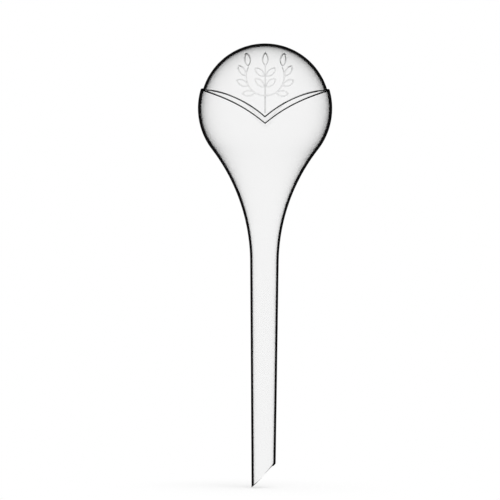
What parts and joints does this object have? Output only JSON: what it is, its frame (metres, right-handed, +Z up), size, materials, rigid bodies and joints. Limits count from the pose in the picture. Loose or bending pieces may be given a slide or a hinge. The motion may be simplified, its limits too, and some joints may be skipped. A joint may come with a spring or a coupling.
{
  "type": "watering globe",
  "caption": "Clear ball on a long hollow stem with a slanted tip, pushed into soil to feed water; its dome lifts off the V-shaped rim for filling.",
  "frame": {"origin": "on the stem's axis, level with the lowest point of the slanted tip", "axes": "+Z up the stem to the dome, -Y to the front with the raised sprig, -X to the long side of the slanted tip"},
  "size_m": [0.0846, 0.084, 0.28],
  "materials": {
    "clear_plastic": "polished, crystal clear",
    "smoky_silicone": "smooth, smoky grey, translucent"
  },
  "bodies": {
    "reservoir_body": {"reservoir": "clear_plastic", "rim_seal": "smoky_silicone"},
    "cap_body": {"dome_cap": "clear_plastic"}
  },
  "joints": [
    {"name": "cap_lift", "type": "slide", "parent": "reservoir_body", "child": "cap_body", "axis": [0, 0, 1], "range_m": [0, 0.05]}
  ]
}
